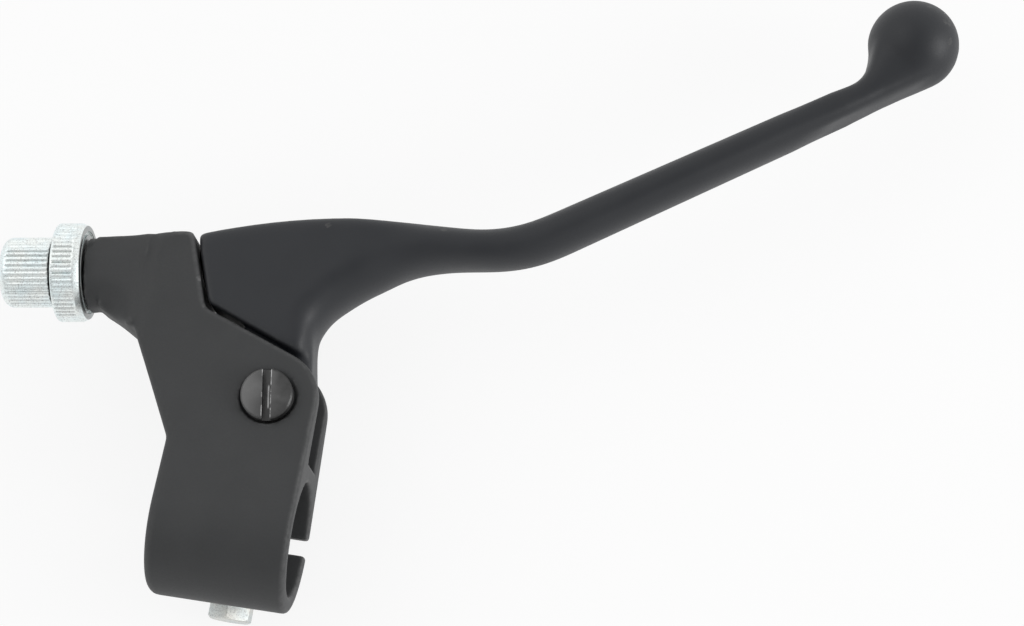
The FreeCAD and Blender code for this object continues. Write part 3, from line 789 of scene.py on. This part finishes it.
def make_pivot(black, steel):
    screw = machined_copy("pivot_screw", SCREW_BREAK)
    piece_from(screw, "slotted_pivot_screw", black, "bracket", "blackened_steel", "pivot_screw")
    sleeve = machined_copy("pivot_bush", SLEEVE_BREAK)
    piece_from(sleeve, "pivot_sleeve", steel, "bracket", "plain_steel", "pivot_bush")


# Turned pieces, about the X axis
def spread(start, end, count):
    return [start + (end - start) * i / (count - 1) for i in range(count)]


def arc(centre, radius, start, end, count):
    """Points of an arc between two angles in degrees."""
    along, out = centre
    angles = [math.radians(angle) for angle in spread(start, end, count)]
    return [(along + radius * math.cos(angle), out + radius * math.sin(angle)) for angle in angles]


def turns(sides):
    return [2 * math.pi * i / sides for i in range(sides)]


def add_ring(shape, places):
    """Ring of corners about the axis, evenly turned, each at its own (along, radius) in millimetres."""
    return [shape.verts.new((along * MM, radius * math.cos(angle) * MM, radius * math.sin(angle) * MM))
            for angle, (along, radius) in zip(turns(len(places)), places)]


def skinned(shape, rings, capped):
    """Mesh over a row of rings, whose two ends are capped or else joined to each other."""
    for ring, after in zip(rings, rings[1:] if capped else rings[1:] + rings[:1]):
        for j in range(len(ring)):
            k = (j + 1) % len(ring)
            shape.faces.new((ring[j], after[j], after[k], ring[k]))
    if capped:
        shape.faces.new(rings[0])
        shape.faces.new(rings[-1])
    bmesh.ops.recalc_face_normals(shape, faces=shape.faces)
    mesh = bpy.data.meshes.new("skinned")
    shape.to_mesh(mesh)
    shape.free()
    return mesh


def plain_radius(along, radius, angle):
    return radius


def turned_mesh(profile, sides, radius_at=plain_radius, capped=False):
    """Profile of (along, radius) pairs in millimetres, turned about the axis: closed to a ring, or capped."""
    shape = bmesh.new()
    rings = [add_ring(shape, [(along, radius_at(along, radius, angle)) for angle in turns(sides)])
             for along, radius in profile]
    return skinned(shape, rings, capped)


def held(share):
    return min(max(share, 0.0), 1.0)


def helix_radius(pitch, depth, start, end):
    """Radius of a screw thread: ridges that climb one pitch a turn and run out at both ends."""
    def radius_at(along, radius, angle):
        if radius < THREAD_LEAST_RADIUS:
            return radius
        turn = (along / pitch - angle / (2 * math.pi)) % 1.0
        ridge = held((1.0 - abs(2.0 * turn - 1.0) - THREAD_FLAT) / (1.0 - 2.0 * THREAD_FLAT))
        runout = held(min(along - start, end - along) / pitch)
        return radius - depth * ((1.0 - ridge) * runout + THREAD_END_DEPTH * (1.0 - runout))
    return radius_at


def joined(*meshes):
    shape = bmesh.new()
    for mesh in meshes:
        shape.from_mesh(mesh)
    mesh = bpy.data.meshes.new("joined")
    shape.to_mesh(mesh)
    shape.free()
    return mesh


# Straight knurl, pressed into the rim of a turned piece
KNURL_INPUTS = (("Teeth", "NodeSocketInt"), ("Depth", "NodeSocketFloat"), ("Rim", "NodeSocketFloat"),
                ("Start", "NodeSocketFloat"), ("End", "NodeSocketFloat"), ("Runout", "NodeSocketFloat"),
                ("Seed", "NodeSocketInt"), ("Finish", "NodeSocketMaterial"))


def knurl_tree():
    """Geometry nodes that press valleys between the teeth, each to a depth of its own."""
    tree = bpy.data.node_groups.new("straight_knurl", "GeometryNodeTree")
    tree.interface.new_socket("Geometry", in_out="INPUT", socket_type="NodeSocketGeometry")
    for name, kind in KNURL_INPUTS:
        tree.interface.new_socket(name, in_out="INPUT", socket_type=kind)
    tree.interface.new_socket("Geometry", in_out="OUTPUT", socket_type="NodeSocketGeometry")
    knurl = Nodes(tree)
    given = knurl.add("NodeGroupInput").outputs
    maths = knurl.maths

    def clamped(first, second):
        """Share of the first in the second, held between 0 and 1."""
        return maths("MINIMUM", maths("MAXIMUM", maths("DIVIDE", first, second), 0.0), 1.0)

    place = knurl.add("GeometryNodeInputPosition").outputs[0]
    along, across, up = knurl.add("ShaderNodeSeparateXYZ", Vector=place).outputs
    radius = maths("SQRT", knurl.sum(maths("MULTIPLY", across, across), maths("MULTIPLY", up, up)))
    phase = maths("MULTIPLY", maths("DIVIDE", maths("ARCTAN2", up, across), 2 * math.pi), given["Teeth"])
    between = maths("MULTIPLY", maths("PINGPONG", phase, 0.5), 2.0)
    valley = maths("POWER", clamped(maths("SUBTRACT", between, KNURL_LAND), 1.0 - KNURL_LAND), KNURL_FORM)
    uneven = knurl.add("FunctionNodeRandomValue", {"data_type": "FLOAT"}, ID=maths("FLOOR", phase),
                       Seed=given["Seed"])
    uneven.inputs[2].default_value = KNURL_LEAST
    uneven.inputs[3].default_value = 1.0
    from_start = clamped(maths("SUBTRACT", along, given["Start"]), given["Runout"])
    from_end = clamped(maths("SUBTRACT", given["End"], along), given["Runout"])
    on_rim = maths("GREATER_THAN", radius, given["Rim"])
    sunk = knurl.product(valley, given["Depth"], uneven.outputs[1], on_rim, from_start, from_end)
    inward = maths("DIVIDE", maths("MULTIPLY", sunk, -1.0), radius)
    offset = knurl.add("ShaderNodeCombineXYZ", Y=maths("MULTIPLY", across, inward),
                       Z=maths("MULTIPLY", up, inward))
    press = knurl.add("GeometryNodeSetPosition", Geometry=given["Geometry"], Offset=offset.outputs[0])
    real = knurl.add("GeometryNodeRealizeInstances", Geometry=press.outputs[0])
    coat = knurl.add("GeometryNodeSetMaterial", Geometry=real.outputs[0], Material=given["Finish"])
    knurl.add("NodeGroupOutput", Geometry=coat.outputs[0])
    return tree


def knurled(mesh, tree, **sizes):
    def add_modifiers(holder):
        knurl = holder.modifiers.new("knurl", "NODES")
        knurl.node_group = tree
        for item in tree.interface.items_tree:
            if item.in_out == "INPUT" and item.name in sizes:
                knurl[item.identifier] = sizes[item.name]
    return with_modifiers(mesh, add_modifiers)


# Adjuster and lock wheel
def knob_mesh(tree, zinc):
    teeth_end = KNOB_FOOT - NECK_LENGTH
    knob = [(KNOB_END + MOUTH_BREAK, HOUSING_RADIUS), (HOUSING_FLOOR, HOUSING_RADIUS),
            (HOUSING_FLOOR, CABLE_RADIUS), (KNOB_FOOT, CABLE_RADIUS), (KNOB_FOOT, NECK_RADIUS),
            (teeth_end, NECK_RADIUS)]
    knob += arc((teeth_end - FOOT_ROUND, KNOB_RADIUS - FOOT_ROUND), FOOT_ROUND, 0.0, 90.0, count=3)
    rows = spread(teeth_end - FOOT_LEAD, KNOB_END + KNOB_ROUND + END_LEAD, KNOB_ROWS)
    knob += [(along, KNOB_RADIUS) for along in rows]
    knob += arc((KNOB_END + KNOB_ROUND, KNOB_RADIUS - KNOB_ROUND), KNOB_ROUND, 90.0, 180.0, count=12)
    knob += [(KNOB_END, HOUSING_RADIUS + MOUTH_BREAK)]
    return knurled(turned_mesh(knob, KNOB_TEETH * SIDES_PER_TOOTH), tree, Teeth=KNOB_TEETH,
                   Depth=KNURL_DEPTH * MM, Rim=(KNOB_RADIUS - KNOB_KNURL_DROP) * MM,
                   Start=(KNOB_END + KNOB_KNURL_START) * MM, End=(KNOB_FOOT + KNOB_KNURL_PAST) * MM,
                   Runout=KNOB_KNURL_RUNOUT * MM, Seed=KNOB_SEED, Finish=zinc)


def stem_mesh():
    stem = [(KNOB_FOOT - STEM_BREAK, CABLE_RADIUS), (STEM_END - STEM_BREAK, CABLE_RADIUS),
            (STEM_END, CABLE_RADIUS + STEM_BREAK), (STEM_END, STEM_RADIUS - STEM_TIP)]
    rows = round((STEM_END - STEM_LEAD - KNOB_FOOT) / STEM_PITCH * ROWS_PER_PITCH)
    stem += [(along, STEM_RADIUS) for along in spread(STEM_END - STEM_LEAD, KNOB_FOOT - STEM_BREAK, rows)]
    thread = helix_radius(STEM_PITCH, STEM_THREAD, KNOB_FOOT + STEM_RUNOUT, STEM_END)
    return turned_mesh(stem, STEM_SIDES, thread)


def wheel_mesh(tree, zinc):
    groove = WHEEL_INNER - GROOVE_DEPTH
    wheel = [(WHEEL_OUTER, HOLE_RADIUS + HOLE_BREAK), (WHEEL_OUTER + HOLE_BREAK, HOLE_RADIUS),
             (WHEEL_INNER - HOLE_BREAK, HOLE_RADIUS), (WHEEL_INNER, HOLE_RADIUS + HOLE_BREAK),
             (WHEEL_INNER, GROOVE_INNER), (groove, GROOVE_INNER + GROOVE_SLOPE),
             (groove, GROOVE_OUTER - GROOVE_SLOPE), (WHEEL_INNER, GROOVE_OUTER),
             (WHEEL_INNER, WHEEL_RADIUS - BEVEL_DROP - FACE_LEAD)]
    wheel += arc((WHEEL_INNER - BEVEL_FOOT_ROUND, WHEEL_RADIUS - BEVEL_DROP), BEVEL_FOOT_ROUND, 0.0,
                 BEVEL_ANGLE, count=4)
    wheel += arc((WHEEL_INNER - BEVEL_LENGTH, WHEEL_RADIUS - BEVEL_TOP_ROUND), BEVEL_TOP_ROUND, BEVEL_ANGLE,
                 90.0, count=3)
    rows = spread(WHEEL_INNER - BEVEL_LENGTH - BEVEL_LEAD, WHEEL_OUTER + WHEEL_ROUND + FACE_LEAD, WHEEL_ROWS)
    wheel += [(along, WHEEL_RADIUS) for along in rows]
    wheel += arc((WHEEL_OUTER + WHEEL_ROUND, WHEEL_RADIUS - WHEEL_ROUND), WHEEL_ROUND, RIM_START, 180.0,
                 count=5)
    return knurled(turned_mesh(wheel, WHEEL_TEETH * SIDES_PER_TOOTH), tree, Teeth=WHEEL_TEETH,
                   Depth=KNURL_DEPTH * MM, Rim=(WHEEL_RADIUS - WHEEL_KNURL_DROP) * MM,
                   Start=(WHEEL_OUTER + WHEEL_KNURL_START) * MM, End=(WHEEL_INNER - WHEEL_KNURL_END) * MM,
                   Runout=WHEEL_KNURL_RUNOUT * MM, Seed=WHEEL_SEED, Finish=zinc)


def make_adjuster(tree, zinc):
    adjuster = smooth_by_angle(joined(knob_mesh(tree, zinc), stem_mesh()))
    adjuster.transform(ADJUSTER)
    piece_from(adjuster, "knurled_adjuster", zinc, "adjuster", "zinc_plate", "adjuster_screw")
    wheel = smooth_by_angle(wheel_mesh(tree, zinc))
    wheel.transform(ADJUSTER)
    piece_from(wheel, "knurled_lock_wheel", zinc, "wheel", "zinc_plate", "lock_wheel")


# Bolt and nut
def hexagon_radius(flats, angle):
    return 0.5 * flats / math.cos((angle + math.pi / 6) % (math.pi / 3) - math.pi / 6)


def hex_mesh(flats, height, hole=0.0, both_ends=False):
    """Hexagon along X, solid or with a hole, its corners taken off by a cone at the far end or at both."""
    touch = CONE_TOUCH * flats
    steps = spread(0.0, 1.0, CONE_STEPS)
    shape = bmesh.new()
    rings = []
    for far, step in [(False, step) for step in steps] + [(True, step) for step in reversed(steps)]:
        places = []
        for angle in turns(HEX_SIDES):
            over = (hexagon_radius(flats, angle) - touch) * step
            drop = over * math.tan(CONE_ANGLE) if far or both_ends else 0.0
            places.append((height - drop if far else drop, touch + over))
        rings.append(add_ring(shape, places))
    rings.append(add_ring(shape, [(height, hole or FACE_RING * flats)] * HEX_SIDES))
    if hole:
        rings.append(add_ring(shape, [(0.0, hole)] * HEX_SIDES))
    return skinned(shape, rings, capped=not hole)


def make_fasteners(zinc):
    head = hex_mesh(BOLT_FLATS, BOLT_HEAD)
    head.transform(Matrix.Rotation(math.radians(180), 4, "Z"))
    rows = spread(BOLT_LENGTH - BOLT_LEAD, -BOLT_SUNK, round(BOLT_LENGTH / BOLT_PITCH * ROWS_PER_PITCH))
    shank = [(BOLT_LENGTH, BOLT_RADIUS - BOLT_TIP)] + [(along, BOLT_RADIUS) for along in rows]
    thread = helix_radius(BOLT_PITCH, BOLT_THREAD, BOLT_RUNOUT, BOLT_LENGTH)
    bolt = joined(head, turned_mesh(shank, BOLT_SIDES, thread, capped=True))
    bolt = smooth_by_angle(bolt, HEX_SHARP_ANGLE)
    bolt.transform(BOLT)
    piece_from(bolt, "hex_clamp_bolt", zinc, "bracket", "zinc_plate", "clamp_bolt")
    nut = smooth_by_angle(hex_mesh(NUT_FLATS, NUT_HEIGHT, NUT_HOLE, both_ends=True), HEX_SHARP_ANGLE)
    nut.transform(NUT)
    piece_from(nut, "hex_pivot_nut", zinc, "bracket", "zinc_plate", "pivot_nut")


add_camera()
add_tent()
add_floor()
for softbox in SOFTBOXES:
    add_softbox(*softbox)
bpy.context.scene.view_settings.view_transform = "Standard"
make_castings(cast_coat("matt_black_casting", *CASTING_BLACKS, worn_and_highlit=grey(0.11), roughness=0.62, grain=0.35),
              cast_coat("satin_black_lever", *LEVER_BLACKS, worn_and_highlit=grey(0.05), roughness=0.5, grain=0.3))
make_pivot(turned_black("blackened_screw"), plain_steel("turned_sleeve"))
make_adjuster(knurl_tree(), zinc_plate("bright_zinc", *BRIGHT_ZINCS, roughness=0.34))
# Bolt and nut in a darker copy of the zinc: duller plate, and painted shade
make_fasteners(zinc_plate("dull_shaded_zinc", *DULL_SHADED_ZINCS, roughness=0.42))
